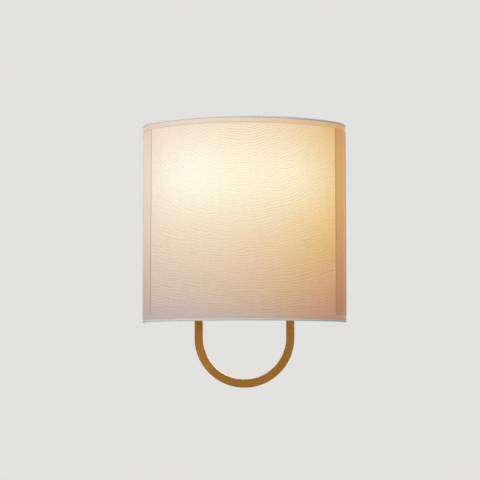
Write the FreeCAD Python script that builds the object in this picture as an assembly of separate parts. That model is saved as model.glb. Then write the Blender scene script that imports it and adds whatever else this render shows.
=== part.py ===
"""Wall light: a half-oval fabric shade over two candle lamps, on a brass loop that hangs below it.

Millimetres. X runs to the right as you face the light, +Y into the wall and +Z up.
The origin is on the wall, at the centre of the crossbar that screws to the wall box.
"""

import FreeCAD, Part

import math
import os

V = FreeCAD.Vector
X_AXIS = V(1, 0, 0)
Y_AXIS = V(0, 1, 0)
Z_AXIS = V(0, 0, 1)

# ---- driving dimensions -------------------------------------------------------------------

# Shade outline, seen from above: two end arcs that leave the wall square, joined by one front arc.
SHADE_HALF_WIDTH = 126.5     # fabric face, at the back edges
SHADE_DEPTH = 91.0           # from the back edges to the front
SHADE_HEIGHT = 247.0         # over the rolled trims
SHADE_BACK = -10.0           # Y of the back edges: the light spills out through this gap
END_RADIUS = 58.0            # the two side panels

FABRIC = 0.6                 # thicknesses of the layers of the shade wall
GLUE = 0.05
LINER = 0.5
TRIM = 0.45
TRIM_BAND = 8.5              # height of the trim band outside and inside
WIRE_RADIUS = 1.2
SEAM_RADIUS = 0.9

# Brass loop: a flat bar bent to a U, its back on the wall.
LOOP_HALF_SPACING = 57.25    # centre line of each leg
BAR_WIDTH = 10.5
BAR_DEPTH = 8.0
BAR_EDGE = 1.6               # rounding of the front edges
LOOP_BOTTOM = -204.5
ARM_SCREW_Z = 50.0           # the four screws that hold the loop to the backplate, above and below
ARM_SCREW_GRIP = 5.5         # depth of thread in the legs

# Backplate: a drawn dish that fills the loop and covers the wall box.
PLATE_HEIGHT = 152.0
PLATE_DEPTH = 20.0
PLATE_CORNER = 12.0
PLATE_EDGE = 3.0
SHEET = 1.5                  # steel sheet of the plate, the bracket and the strap
BUSHING_Z = -8.0
BUSHING_BODY = 6.0           # radius of the hole for the lamp leads
BUSHING_BORE = 4.0

# Lamps.
LAMP_X = 50.0
LAMP_Y = -50.0
HOLDER_BASE = -26.0          # top face of the bracket's shelf
HOLDER_TOP = 22.0
CAP_RADIUS = 5.95            # E12 lamp cap
CAP_CLEARANCE = 0.08
CAP_DEPTH = 20.0             # from the holder's rim to the lamp's tip contact
CAP_TAPER = 0.6              # how far the cap draws in at its foot
TIP_HEIGHT = 1.2
GLASS_HEIGHT = 80.0          # above the holder's rim
GLASS_RADIUS = 17.5
GLASS = 0.8
NECK_RADIUS = 7.0
STEM_HEIGHT = 18.0           # from the holder's rim to the filaments
FILAMENT_LENGTH = 30.0
FILAMENT_CIRCLE = 4.0
FILAMENT_RADIUS = 0.75

# Lampholders, and the bracket that carries them.
HOLDER_RADIUS = 13.0
HOLDER_BORE = 6.65
HOLDER_STEP = 16.0           # height of the wide part of the body
CONTACT_ROOM = 6.0           # below the lamp's tip contact
NIPPLE_RADIUS = 4.85
NIPPLE_BORE = 3.3
NIPPLE_GRIP = 7.0            # how far the nipple screws into the body
WASHER = 1.0
FOOT_HALF_WIDTH = 22.0
FOOT_BOTTOM = -47.0
SHELF_END_RADIUS = 14.0
SHELF_LIP = 6.0
BRACKET_SCREW_X = 14.0
BRACKET_SCREW_Z = -41.0

# Wall fixing.
BOX_SCREW_SPACING = 88.9     # the two screws of a 4 inch wall box
BOX_SLOT_RADIUS = 2.3
BOX_SLOT_LENGTH = 12.0
STUD_HEIGHT = 55.0           # the studs that hold the backplate, above and below the centre
STUD_STANDOUT = 7.0          # of the studs in front of the backplate
CROSSBAR_HALF_LENGTH = 66.0
CROSSBAR_HALF_WIDTH = 10.0
CROSSBAR_SHEET = 1.6
CROSSBAR_FLANGE = 5.0
CROSSBAR_BEND = 1.2
KNOCKOUT_RADIUS = 5.2
GROUND_SCREW_Z = 24.0
BALL_RADIUS = 6.0            # cap nuts
BALL_NECK = 4.6
BALL_STANDOUT = 2.2          # of the back of the ball in front of the backplate

SCREW_RADIUS = 2.0           # M4 throughout
SCREW_CLEARANCE = 2.15
HEAD_RADIUS = 3.6
HEAD_HEIGHT = 2.4

# Shade posts, and the strap that hangs on them, high enough to lift clear of the upper cap nut.
POST_X = 25.0
POST_Z = 66.0
POST_SHOULDER = 4.5          # radius of the collar that the strap bears on
POST_COLLAR = 4.0            # its length
POST_THREAD = 10.0
STRAP_PLAY = 0.3             # clearance of the strap on its posts and under its nuts
STRAP_BOTTOM = 62.5
STRAP_TOP = 76.0
STRAP_BEND = 1.0
JOGGLE_INNER = 4.0           # where the strap steps back, beyond the legs of the loop
JOGGLE_OUTER = 16.0
STRAP_WELD = 1.0             # how far the strap's ends lap over the back uprights
NOTCH = 0.4                  # room round the strap where the back trim is notched for it
THUMB_RADIUS = 7.0
THUMB_LENGTH = 8.0

# ---- places that follow from them ---------------------------------------------------------

HALF_HEIGHT = SHADE_HEIGHT / 2
END_CENTRE_X = SHADE_HALF_WIDTH - END_RADIUS
FRONT_RADIUS = (SHADE_HALF_WIDTH**2 + SHADE_DEPTH**2 - 2 * SHADE_HALF_WIDTH * END_RADIUS) / (
    2 * (SHADE_DEPTH - END_RADIUS)
)
FRONT_CENTRE_Y = SHADE_BACK + FRONT_RADIUS - SHADE_DEPTH
SEAM_ANGLE = math.degrees(math.atan2(FRONT_RADIUS - SHADE_DEPTH, END_CENTRE_X))

WALL_INSIDE = -(FABRIC + GLUE + LINER)
WIRE_OFFSET = WALL_INSIDE - GLUE - WIRE_RADIUS
WALL_HALF_HEIGHT = HALF_HEIGHT - TRIM - GLUE
RING_Z = HALF_HEIGHT - TRIM - GLUE - WIRE_RADIUS
BAND_Z = HALF_HEIGHT - TRIM_BAND

PLATE_FRONT = -PLATE_DEPTH
PLATE_HALF_WIDTH = LOOP_HALF_SPACING - BAR_WIDTH / 2
STRAP_BACK = PLATE_FRONT - POST_COLLAR - STRAP_PLAY
STRAP_FRONT = STRAP_BACK - SHEET
LAMP_TIP = HOLDER_TOP - CAP_DEPTH
HOLDER_FLOOR = LAMP_TIP - CONTACT_ROOM
NIPPLE_SEAT = HOLDER_BASE + NIPPLE_GRIP
NIPPLE_END = HOLDER_BASE - 12.0
SHELF_BOTTOM = HOLDER_BASE - SHEET
STEM_TOP = HOLDER_TOP + STEM_HEIGHT
GLASS_FOOT = HOLDER_TOP + 2.6
CAP_FOOT = LAMP_TIP + 4.0
TOUCH = 1e-6                 # distance within which two places are the same


# ---- shared construction ------------------------------------------------------------------

def box(x0, x1, y0, y1, z0, z1):
    return Part.makeBox(x1 - x0, y1 - y0, z1 - z0, V(x0, y0, z0))


def rod_x(radius, y, z, x0, x1):
    return Part.makeCylinder(radius, abs(x1 - x0), V(min(x0, x1), y, z), X_AXIS)


def rod_y(radius, x, z, y0, y1):
    return Part.makeCylinder(radius, y1 - y0, V(x, y0, z), Y_AXIS)


def rod_z(radius, x, y, z0, z1):
    return Part.makeCylinder(radius, z1 - z0, V(x, y, z0), Z_AXIS)


def ring_z(outer, inner, z0, z1):
    """A tube about the Z axis."""
    return rod_z(outer, 0, 0, z0, z1).cut(rod_z(inner, 0, 0, z0 - 1, z1 + 1))


def polygon(points):
    return Part.Face(Part.makePolygon([V(*p) for p in [*points, points[0]]]))


def turned(points):
    """A solid of revolution about Z from (radius, z) points."""
    return polygon([(r, 0, z) for r, z in points]).revolve(V(0, 0, 0), Z_AXIS, 360)


def turned_about_y(points, x, z):
    """A solid of revolution about a line along Y, from (radius, y) points."""
    solid = polygon([(r, y, 0) for r, y in points]).revolve(V(0, 0, 0), Y_AXIS, 360)
    return solid.translated(V(x, 0, z))


def mirrored(shape):
    return shape.mirror(V(0, 0, 0), X_AXIS)


def upside_down(shape):
    return shape.mirror(V(0, 0, 0), Z_AXIS)


def group(solids):
    return Part.makeCompound(solids)


def strip(points, thickness):
    """The outline of bent sheet, (u, v) points with mitred corners, from its centre line."""
    half = thickness / 2
    sides = ([], [])
    for i, (u, v) in enumerate(points):
        before = points[max(i - 1, 0)]
        after = points[min(i + 1, len(points) - 1)]
        first = math.atan2(v - before[1], u - before[0]) if i else None
        last = math.atan2(after[1] - v, after[0] - u) if i < len(points) - 1 else None
        first = last if first is None else first
        last = first if last is None else last
        turn = (last - first + math.pi) % (2 * math.pi) - math.pi
        middle = first + turn / 2 + math.pi / 2
        reach = half / math.cos(turn / 2)
        for side, sign in zip(sides, (1, -1)):
            side.append((u + sign * reach * math.cos(middle), v + sign * reach * math.sin(middle)))
    return [*sides[0], *reversed(sides[1])]


def rounded(shape, radius, wanted):
    """Fillets the edges for which wanted(edge) holds."""
    return shape.makeFillet(radius, [e for e in shape.Edges if wanted(e)])


def runs_along(edge, axis):
    """True for a straight edge along an axis."""
    if not isinstance(edge.Curve, Part.Line):
        return False
    return abs(abs(edge.tangentAt(edge.FirstParameter).dot(axis)) - 1) < TOUCH


# ---- the shade's outline ------------------------------------------------------------------
# A profile is drawn as (offset, z) in the XZ plane, the offset outward from the fabric's face,
# and swept along the arcs of the outline. All layers share the arcs' centres, so they nest.

def swept(face, centre_x, centre_y, radius, start, sweep):
    placed = face.translated(V(radius, 0, 0))
    placed.rotate(V(0, 0, 0), Z_AXIS, -start)
    placed.translate(V(centre_x, centre_y, 0))
    return placed.revolve(V(centre_x, centre_y, 0), Z_AXIS, -sweep)


def along_right_end(face, start=0.0, sweep=SEAM_ANGLE):
    return swept(face, END_CENTRE_X, SHADE_BACK, END_RADIUS, start, sweep)


def along_front(face):
    return swept(face, 0, FRONT_CENTRE_Y, FRONT_RADIUS, SEAM_ANGLE, 180 - 2 * SEAM_ANGLE)


def along_outline(face):
    right = along_right_end(face)
    return right.fuse([along_front(face), mirrored(right)]).removeSplitter()


def wall_profile(inner, outer, height):
    return polygon([(inner, 0, -height), (outer, 0, -height), (outer, 0, height), (inner, 0, height)])


def on_right_end(offset, angle):
    """The plan position of a point at an offset from the right end arc."""
    reach = END_RADIUS + offset
    turn = math.radians(angle)
    return END_CENTRE_X + reach * math.cos(turn), SHADE_BACK - reach * math.sin(turn)


def shade_liner():
    outer = -FABRIC - GLUE
    return along_outline(wall_profile(outer - LINER, outer, WALL_HALF_HEIGHT))


def front_fabric():
    return along_front(wall_profile(-FABRIC, 0, WALL_HALF_HEIGHT))


def right_side_fabric():
    return along_right_end(wall_profile(-FABRIC, 0, WALL_HALF_HEIGHT))


def right_seam_welt():
    """The ridge where the front and side panels are sewn together."""
    bead = rod_z(SEAM_RADIUS, 0, 0, -BAND_Z, BAND_Z)
    proud = 2 * SEAM_RADIUS
    bead = bead.common(box(0, proud, -proud, proud, -HALF_HEIGHT, HALF_HEIGHT))
    bead.rotate(V(0, 0, 0), Z_AXIS, -SEAM_ANGLE)
    x, y = on_right_end(GLUE, SEAM_ANGLE)
    return bead.translated(V(x, y, 0))


def rolled_edge():
    """The section of the trim: one band outside, one inside, rolled over the wall and its wire."""
    outside = GLUE + TRIM
    lip = WIRE_RADIUS + TRIM
    halfway = lip * (1 - math.sqrt(0.5))
    inner_band = WALL_INSIDE - GLUE - TRIM
    arcs = [
        Part.Arc(
            V(outside, 0, HALF_HEIGHT - lip),
            V(outside - halfway, 0, HALF_HEIGHT - halfway),
            V(outside - lip, 0, HALF_HEIGHT),
        ),
        Part.Arc(
            V(WIRE_OFFSET, 0, HALF_HEIGHT),
            V(WIRE_OFFSET - (lip + GLUE), 0, RING_Z),
            V(WIRE_OFFSET, 0, RING_Z - lip - GLUE),
        ),
    ]
    lines = [
        (V(outside, 0, BAND_Z), V(outside, 0, HALF_HEIGHT - lip)),
        (V(outside - lip, 0, HALF_HEIGHT), V(WIRE_OFFSET, 0, HALF_HEIGHT)),
        (V(WIRE_OFFSET, 0, RING_Z - lip - GLUE), V(inner_band, 0, RING_Z - 2 * lip)),
        (V(inner_band, 0, RING_Z - 2 * lip), V(inner_band, 0, BAND_Z)),
        (V(inner_band, 0, BAND_Z), V(outside, 0, BAND_Z)),
    ]
    edges = [a.toShape() for a in arcs] + [Part.LineSegment(a, b).toShape() for a, b in lines]
    return Part.Face(Part.Wire(Part.__sortEdges__(edges)))


def trim_section():
    """The rolled edge, open where the wall and the ring wire lie in it."""
    slot = polygon(
        [
            (WALL_INSIDE - GLUE, 0, 0),
            (GLUE, 0, 0),
            (GLUE, 0, WALL_HALF_HEIGHT + GLUE),
            (WALL_INSIDE - GLUE, 0, WALL_HALF_HEIGHT + GLUE),
        ]
    )
    return rolled_edge().cut(slot.fuse(ring_section(WIRE_RADIUS + GLUE))).Faces[0]


def ring_section(radius):
    """A disc on the ring wire's centre line."""
    return Part.Face(Part.Wire(Part.Circle(V(WIRE_OFFSET, 0, RING_Z), Y_AXIS, radius).toShape()))


def top_trim():
    """The trim round the top, closed over at both back corners."""
    corner = rolled_edge().translated(V(SHADE_HALF_WIDTH, SHADE_BACK, 0))
    corner = corner.extrude(V(0, GLUE + TRIM, 0))
    return along_outline(trim_section()).fuse([corner, mirrored(corner)]).removeSplitter()


def right_back_trim():
    """The same roll standing up the right back edge, notched where the strap is welded to its wire."""
    band = math.degrees(TRIM_BAND / END_RADIUS)
    height = BAND_Z
    wire_x, wire_y = back_wire_place()
    outside = GLUE + TRIM
    roll = along_right_end(wall_profile(WALL_INSIDE - outside, outside, height), sweep=band)
    back_fold = box(wire_x, SHADE_HALF_WIDTH + outside, SHADE_BACK, SHADE_BACK + outside, -height, height)
    roll = roll.fuse([back_fold, rod_z(WIRE_RADIUS + outside, wire_x, wire_y, -height, height)])
    wall = along_right_end(wall_profile(WALL_INSIDE - GLUE, GLUE, height), sweep=band + 1)
    wire = rod_z(WIRE_RADIUS + GLUE, wire_x, wire_y, -height - 1, height + 1)
    strap_face = wire_y - WIRE_RADIUS - SHEET
    strap_end = wire_x + STRAP_WELD
    strap = box(
        0, strap_end + NOTCH, strap_face - NOTCH, wire_y, STRAP_BOTTOM - NOTCH, STRAP_TOP + NOTCH
    )
    return roll.cut(wall).cut(wire).cut(strap).removeSplitter()


def top_ring():
    return along_outline(ring_section(WIRE_RADIUS))


def back_wire_place():
    return SHADE_HALF_WIDTH + WIRE_OFFSET, SHADE_BACK - WIRE_RADIUS


def uprights(x, y):
    """A pair of frame wires that stand between the two rings."""
    wire = rod_z(WIRE_RADIUS, x, y, -RING_Z + WIRE_RADIUS, RING_Z - WIRE_RADIUS)
    return group([wire, mirrored(wire)])


def carrier_strap():
    """Joggled strap across the back of the frame, with two slots that drop over the posts."""
    wire_x, wire_y = back_wire_place()
    end_y = wire_y - WIRE_RADIUS - SHEET / 2
    middle_y = STRAP_BACK - SHEET / 2
    outer = LOOP_HALF_SPACING + JOGGLE_OUTER
    inner = LOOP_HALF_SPACING + JOGGLE_INNER
    half = [(wire_x + STRAP_WELD, end_y), (outer, end_y), (inner, middle_y)]
    line = [(-x, y) for x, y in half] + [*reversed(half)]
    sheet = polygon([(x, y, STRAP_BOTTOM) for x, y in strip(line, SHEET)])
    strap = sheet.extrude(V(0, 0, STRAP_TOP - STRAP_BOTTOM))

    def at_a_bend(edge):
        reach = abs(edge.CenterOfMass.x)
        return runs_along(edge, Z_AXIS) and min(abs(reach - outer), abs(reach - inner)) < SHEET

    strap = rounded(strap, STRAP_BEND, at_a_bend)
    slot_radius = SCREW_RADIUS + STRAP_PLAY
    for x in (-POST_X, POST_X):
        through = (STRAP_FRONT - 1, STRAP_BACK + 1)
        mouth = box(x - slot_radius, x + slot_radius, *through, STRAP_BOTTOM - 1, POST_Z)
        strap = strap.cut(rod_y(slot_radius, x, POST_Z, *through)).cut(mouth)
    return strap


# ---- brass loop and backplate -------------------------------------------------------------

def arm_loop():
    """Flat bar bent to a U. Its legs run up both sides of the backplate."""
    outer = LOOP_HALF_SPACING + BAR_WIDTH / 2
    inner = LOOP_HALF_SPACING - BAR_WIDTH / 2
    bend_z = LOOP_BOTTOM + outer
    top = PLATE_HEIGHT / 2 - PLATE_CORNER
    edges = []
    for r in (outer, inner):
        edges.append(Part.Arc(V(-r, 0, bend_z), V(0, 0, bend_z - r), V(r, 0, bend_z)).toShape())
        edges += [Part.LineSegment(V(x, 0, bend_z), V(x, 0, top)).toShape() for x in (-r, r)]
    edges += [Part.LineSegment(V(s * inner, 0, top), V(s * outer, 0, top)).toShape() for s in (-1, 1)]
    bar = Part.Face(Part.Wire(Part.__sortEdges__(edges))).extrude(V(0, -BAR_DEPTH, 0))
    bar = rounded(bar, BAR_EDGE, lambda e: e.BoundBox.YMax < -BAR_DEPTH + TOUCH)
    for x, y, z in arm_screw_places():
        bar = bar.cut(rod_x(SCREW_RADIUS, y, z, x, x + math.copysign(ARM_SCREW_GRIP + 0.5, x)))
    return bar


def arm_screw_places():
    """Where each arm screw crosses the outer face of the backplate's side wall."""
    return [
        (side * PLATE_HALF_WIDTH, -BAR_DEPTH / 2, level * ARM_SCREW_Z)
        for side in (-1, 1)
        for level in (-1, 1)
    ]


def arm_screws():
    """Screws driven outward from inside the backplate into the legs of the loop."""
    screw = pan_screw(SHEET + ARM_SCREW_GRIP)
    screws = []
    for x, y, z in arm_screw_places():
        out = math.copysign(1, x)
        screws.append(driven(screw, X_AXIS * out, V(x - out * SHEET, y, z)))
    return group(screws)


def backplate():
    """Drawn steel dish, open to the wall, with its rim on the wall."""
    def block(inset, depth, corner):
        half_width = PLATE_HALF_WIDTH - inset
        half_height = PLATE_HEIGHT / 2 - inset
        solid = box(-half_width, half_width, -depth, 0, -half_height, half_height)
        return rounded(solid, corner, lambda e: runs_along(e, Y_AXIS))

    def soften_front(solid, depth, radius):
        return rounded(solid, radius, lambda e: e.BoundBox.YMax < -depth + TOUCH)

    dish = soften_front(block(0, PLATE_DEPTH, PLATE_CORNER), PLATE_DEPTH, PLATE_EDGE)
    hollow_depth = PLATE_DEPTH - SHEET
    hollow = soften_front(
        block(SHEET, hollow_depth, PLATE_CORNER - SHEET), hollow_depth, PLATE_EDGE - SHEET
    )
    plate = dish.cut(hollow)
    through = (PLATE_FRONT - 1, PLATE_FRONT + SHEET + 1)
    for z in (-STUD_HEIGHT, STUD_HEIGHT):
        plate = plate.cut(rod_y(SCREW_CLEARANCE, 0, z, *through))
    for x, z in bracket_screw_places():
        plate = plate.cut(rod_y(SCREW_RADIUS, x, z, *through))
    for x in (-POST_X, POST_X):
        plate = plate.cut(rod_y(SCREW_RADIUS, x, POST_Z, *through))
    plate = plate.cut(rod_y(BUSHING_BODY, 0, BUSHING_Z, *through))
    for x, y, z in arm_screw_places():
        plate = plate.cut(rod_x(SCREW_CLEARANCE, y, z, x - 3, x + 3))
    return plate


def wire_bushing():
    """Snap-in nylon bushing where the lamp leads would pass through the backplate."""
    front = PLATE_FRONT
    flange = BUSHING_BODY + 2.0
    barb = BUSHING_BODY + 0.6
    return turned_about_y(
        [
            (BUSHING_BORE, front - 1.6),
            (flange - 0.8, front - 1.6),
            (flange, front - 0.8),
            (flange, front),
            (BUSHING_BODY, front),
            (BUSHING_BODY, front + SHEET),
            (barb, front + SHEET),
            (barb - 1.2, front + 5.5),
            (BUSHING_BORE, front + 5.5),
        ],
        0,
        BUSHING_Z,
    )


# ---- wall fixing --------------------------------------------------------------------------

def wall_crossbar():
    """Channel-section bar with a slot for each wall box screw and a centre knockout."""
    width, sheet, length = CROSSBAR_HALF_WIDTH, CROSSBAR_SHEET, CROSSBAR_HALF_LENGTH
    bar = box(-width, width, -CROSSBAR_FLANGE, 0, -length, length)
    bar = bar.cut(box(-width + sheet, width - sheet, -CROSSBAR_FLANGE, -sheet, -length, length))
    bar = rounded(bar, CROSSBAR_BEND, lambda e: runs_along(e, Z_AXIS) and e.CenterOfMass.y > -TOUCH)
    through = (-sheet - 1, 1)
    straight = BOX_SLOT_LENGTH / 2 - BOX_SLOT_RADIUS
    for z in (-BOX_SCREW_SPACING / 2, BOX_SCREW_SPACING / 2):
        bar = bar.cut(box(-BOX_SLOT_RADIUS, BOX_SLOT_RADIUS, *through, z - straight, z + straight))
        for end in (-straight, straight):
            bar = bar.cut(rod_y(BOX_SLOT_RADIUS, 0, z + end, *through))
    for z in (-STUD_HEIGHT, GROUND_SCREW_Z, STUD_HEIGHT):
        bar = bar.cut(rod_y(SCREW_RADIUS, 0, z, *through))
    return bar.cut(rod_y(KNOCKOUT_RADIUS, 0, 0, *through))


def mounting_studs():
    end = PLATE_FRONT - STUD_STANDOUT
    return group([rod_y(SCREW_RADIUS, 0, z, end, 0) for z in (-STUD_HEIGHT, STUD_HEIGHT)])


def pan_screw(length):
    """Pan-headed screw about Z, its seat at 0 and its point below."""
    edge = 0.8
    return turned(
        [
            (0, -length),
            (SCREW_RADIUS, -length),
            (SCREW_RADIUS, 0),
            (HEAD_RADIUS, 0),
            (HEAD_RADIUS, HEAD_HEIGHT - edge),
            (HEAD_RADIUS - edge, HEAD_HEIGHT),
            (0, HEAD_HEIGHT),
        ]
    )


def driven(screw, direction, seat):
    """The screw with its head on the seat, driven along a direction."""
    placed = screw.copy()
    placed.Placement = FreeCAD.Placement(seat, FreeCAD.Rotation(V(0, 0, -1), direction))
    return placed


def ground_screw():
    """Slotted screw in the crossbar, for the earth wire."""
    half_slot = 0.5
    slot = box(-HEAD_RADIUS, HEAD_RADIUS, -half_slot, half_slot, HEAD_HEIGHT - 1, HEAD_HEIGHT + 1)
    screw = pan_screw(CROSSBAR_SHEET).cut(slot)
    return driven(screw, Y_AXIS, V(0, -CROSSBAR_SHEET, GROUND_SCREW_Z))


def cap_nuts():
    """Ball nuts that hold the backplate on its studs."""
    centre = PLATE_FRONT - BALL_STANDOUT - BALL_RADIUS
    flange = PLATE_FRONT - 1.4
    flange_radius = BALL_RADIUS + 0.4
    bore_end = PLATE_FRONT - STUD_STANDOUT
    neck_y = centre + math.sqrt(BALL_RADIUS**2 - BALL_NECK**2)
    corners = [
        V(BALL_NECK, neck_y, 0),
        V(BALL_NECK, flange, 0),
        V(flange_radius, flange, 0),
        V(flange_radius, PLATE_FRONT, 0),
        V(SCREW_RADIUS, PLATE_FRONT, 0),
        V(SCREW_RADIUS, bore_end, 0),
        V(0, bore_end, 0),
        V(0, centre - BALL_RADIUS, 0),
    ]
    edges = [Part.LineSegment(a, b).toShape() for a, b in zip(corners, corners[1:])]
    edges.append(Part.Arc(corners[-1], V(BALL_RADIUS, centre, 0), corners[0]).toShape())
    nut = Part.Face(Part.Wire(edges)).revolve(V(0, 0, 0), Y_AXIS, 360)
    return group([nut.translated(V(0, 0, z)) for z in (-STUD_HEIGHT, STUD_HEIGHT)])


# ---- lamp bracket and lampholders ---------------------------------------------------------

def bracket_screw_places():
    return [(-BRACKET_SCREW_X, BRACKET_SCREW_Z), (BRACKET_SCREW_X, BRACKET_SCREW_Z)]


def lamp_bracket():
    """Bent bracket: a foot on the backplate and a shelf that carries both lampholders."""
    front, back = LAMP_Y - SHELF_END_RADIUS, LAMP_Y + SHELF_END_RADIUS
    foot, level = FOOT_HALF_WIDTH, (SHELF_BOTTOM, HOLDER_BASE)
    lip_half = LAMP_X - SHEET
    bracket = box(-LAMP_X, LAMP_X, front, back, *level).fuse(
        [
            rod_z(SHELF_END_RADIUS, -LAMP_X, LAMP_Y, *level),
            rod_z(SHELF_END_RADIUS, LAMP_X, LAMP_Y, *level),
            box(-foot, foot, LAMP_Y, PLATE_FRONT, *level),
            box(-foot, foot, PLATE_FRONT - SHEET, PLATE_FRONT, FOOT_BOTTOM, HOLDER_BASE),
            box(-lip_half, lip_half, front, front + SHEET, HOLDER_BASE - SHELF_LIP, HOLDER_BASE),
        ]
    )
    bracket = bracket.removeSplitter()

    def at_the_foot(edge):
        middle = edge.CenterOfMass
        return runs_along(edge, X_AXIS) and min(middle.z - HOLDER_BASE, middle.y - PLATE_FRONT) > -TOUCH

    bracket = rounded(bracket, SHEET - 0.1, at_the_foot)
    for x, z in bracket_screw_places():
        bracket = bracket.cut(rod_y(SCREW_CLEARANCE, x, z, PLATE_FRONT - SHEET - 1, PLATE_FRONT + 1))
    for x in (-LAMP_X, LAMP_X):
        bracket = bracket.cut(rod_z(NIPPLE_RADIUS, x, LAMP_Y, SHELF_BOTTOM - 1, HOLDER_BASE + 1))
    return bracket


def bracket_screws():
    screw = pan_screw(SHEET + 4.0)
    seat = PLATE_FRONT - SHEET
    return group([driven(screw, Y_AXIS, V(x, seat, z)) for x, z in bracket_screw_places()])


def lampholder():
    """Moulded holder body, about its own axis."""
    chamfer = 0.8
    step = HOLDER_BASE + HOLDER_STEP
    upper = HOLDER_RADIUS - 2.0
    ledge = HOLDER_FLOOR + CONTACT_ROOM / 2
    well = HOLDER_BORE - 1.45
    return turned(
        [
            (NIPPLE_RADIUS, HOLDER_BASE),
            (HOLDER_RADIUS - chamfer, HOLDER_BASE),
            (HOLDER_RADIUS, HOLDER_BASE + chamfer),
            (HOLDER_RADIUS, step - chamfer),
            (HOLDER_RADIUS - chamfer, step),
            (upper, step),
            (upper, HOLDER_TOP - chamfer),
            (upper - chamfer, HOLDER_TOP),
            (HOLDER_BORE, HOLDER_TOP),
            (HOLDER_BORE, ledge),
            (well, ledge),
            (well, HOLDER_FLOOR),
            (0, HOLDER_FLOOR),
            (0, NIPPLE_SEAT),
            (NIPPLE_RADIUS, NIPPLE_SEAT),
        ]
    )


def screw_shell():
    """Threaded shell that grips the lamp cap, with a turned-out rim."""
    bore = CAP_RADIUS + CAP_CLEARANCE
    rim = bore + 2.0
    ledge = HOLDER_FLOOR + CONTACT_ROOM / 2
    return turned(
        [
            (bore, ledge),
            (HOLDER_BORE, ledge),
            (HOLDER_BORE, HOLDER_TOP),
            (rim, HOLDER_TOP),
            (rim, HOLDER_TOP + 0.4),
            (bore, HOLDER_TOP + 0.4),
        ]
    )


def centre_contact():
    """Bronze tongue that springs up under the lamp's tip."""
    thickness = 0.4
    half_width = 2.0
    floor = HOLDER_FLOOR + thickness / 2
    pad = LAMP_TIP - thickness / 2
    line = [(-3.8, floor), (3.4, floor), (4.2, floor + 1.6), (-1.2, pad), (2.4, pad)]
    tongue = polygon([(u, -half_width, v) for u, v in strip(line, thickness)])
    return tongue.extrude(V(0, 2 * half_width, 0))


def holder_nipple():
    return ring_z(NIPPLE_RADIUS, NIPPLE_BORE, NIPPLE_END, NIPPLE_SEAT)


def holder_washer():
    return ring_z(8.2, NIPPLE_RADIUS, SHELF_BOTTOM - WASHER, SHELF_BOTTOM)


def holder_nut():
    corner = 14.0 / math.sqrt(3)    # 14 mm across flats
    height = 4.0
    top = SHELF_BOTTOM - WASHER
    turns = [math.radians(60 * i) for i in range(6)]
    outline = [(corner * math.cos(t), corner * math.sin(t), top - height) for t in turns]
    nut = polygon(outline).extrude(V(0, 0, height))
    return nut.cut(rod_z(NIPPLE_RADIUS, 0, 0, top - height - 1, top + 1))


# ---- candle lamp, about its own axis ------------------------------------------------------

def lamp_tip():
    radius = 2.4
    chamfer = 0.5
    top = LAMP_TIP + TIP_HEIGHT
    return turned(
        [(0, LAMP_TIP), (radius - chamfer, LAMP_TIP), (radius, LAMP_TIP + chamfer), (radius, top), (0, top)]
    )


def lamp_insulator():
    return turned(
        [
            (0, LAMP_TIP + TIP_HEIGHT),
            (3.0, LAMP_TIP + TIP_HEIGHT),
            (CAP_RADIUS - CAP_TAPER, CAP_FOOT),
            (CAP_RADIUS - CAP_TAPER, CAP_FOOT + 1.0),
            (0, CAP_FOOT + 1.0),
        ]
    )


def lamp_cap():
    """Screw cap: a thin cup, drawn in at the foot, with a plain collar round the glass."""
    wall = 0.4
    collar_top = HOLDER_TOP + 4.5
    return turned(
        [
            (CAP_RADIUS - CAP_TAPER, CAP_FOOT),
            (CAP_RADIUS, CAP_FOOT + 1.0),
            (CAP_RADIUS, HOLDER_TOP + 0.6),
            (NECK_RADIUS + wall, HOLDER_TOP + 2.0),
            (NECK_RADIUS + wall, collar_top),
            (NECK_RADIUS, collar_top),
            (NECK_RADIUS, HOLDER_TOP + 2.2),
            (CAP_RADIUS - wall, HOLDER_TOP + 0.9),
            (CAP_RADIUS - wall, CAP_FOOT + 1.0),
            (CAP_RADIUS - CAP_TAPER, CAP_FOOT + 1.0),
        ]
    )


def arc_radius(width, height):
    """Radius of an arc that starts upright and moves in by a width over a height."""
    return (width**2 + height**2) / (2 * width)


def glass_line(inset):
    """Half section of the candle glass: straight neck, belly, taper and round tip, ends first and last."""
    neck_top = HOLDER_TOP + 7.0
    belly = HOLDER_TOP + 32.0
    tip_radius = 3.2
    tip_height = 2.6
    taper_top = HOLDER_TOP + GLASS_HEIGHT - tip_height
    lower = arc_radius(GLASS_RADIUS - NECK_RADIUS, belly - neck_top)
    upper = arc_radius(GLASS_RADIUS - tip_radius, taper_top - belly)

    def on_arc(radius, z):
        """A point on an arc that is upright at the belly."""
        return V(GLASS_RADIUS - radius + math.sqrt((radius - inset) ** 2 - (z - belly) ** 2), 0, z)

    neck = NECK_RADIUS - inset
    neck_z = belly - math.sqrt((lower - inset) ** 2 - (neck - GLASS_RADIUS + lower) ** 2)
    top = HOLDER_TOP + GLASS_HEIGHT - inset
    widest, tip = on_arc(upper, belly), on_arc(upper, taper_top)
    cap = arc_radius(top - taper_top, tip.x)
    half_turn = math.atan2(tip.x, cap - (top - taper_top)) / 2
    cap_middle = V(cap * math.sin(half_turn), 0, top - cap + cap * math.cos(half_turn))
    start, shoulder, end = V(neck, 0, GLASS_FOOT), V(neck, 0, neck_z), V(0, 0, top)
    line = [
        Part.LineSegment(start, shoulder),
        Part.Arc(shoulder, on_arc(lower, (neck_z + belly) / 2), widest),
        Part.Arc(widest, on_arc(upper, (belly + taper_top) / 2), tip),
        Part.Arc(tip, cap_middle, end),
    ]
    return start, [piece.toShape() for piece in line], end


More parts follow.
